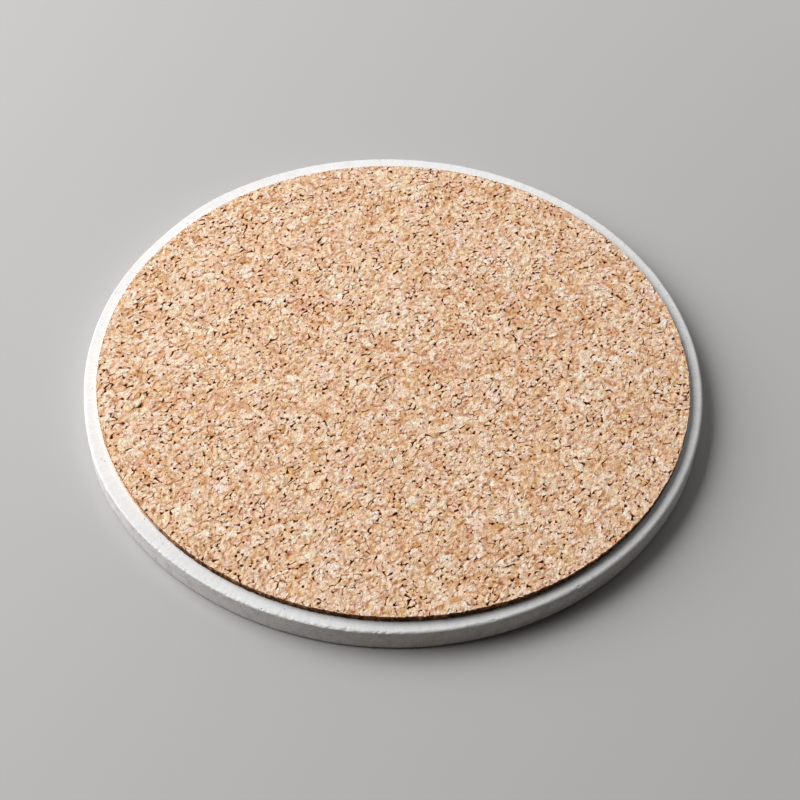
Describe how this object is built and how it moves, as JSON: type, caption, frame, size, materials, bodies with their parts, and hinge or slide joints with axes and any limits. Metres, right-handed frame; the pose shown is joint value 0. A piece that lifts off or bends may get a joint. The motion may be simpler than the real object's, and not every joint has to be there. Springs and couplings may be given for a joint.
{
  "type": "drink coaster",
  "caption": "Round cast disc with a thin cork sheet bonded to its underside, stored cork side up; a glass stands on the smooth face and the cork lies on the table.",
  "frame": {"origin": "centre of the disc's drink face, which is the lowest face as the coaster lies turned over in the picture", "axes": "+Z out of the cork, so up in the picture and down in use; +X to the right and +Y away from the viewer in the picture"},
  "size_m": [0.1, 0.1, 0.0057],
  "materials": {
    "cast_disc": "matte",
    "adhesive": "satin",
    "cork": "matte"
  },
  "bodies": {
    "root": {"coaster_disc": "cast_disc", "adhesive_film": "adhesive", "cork_backing": "cork"}
  },
  "joints": []
}
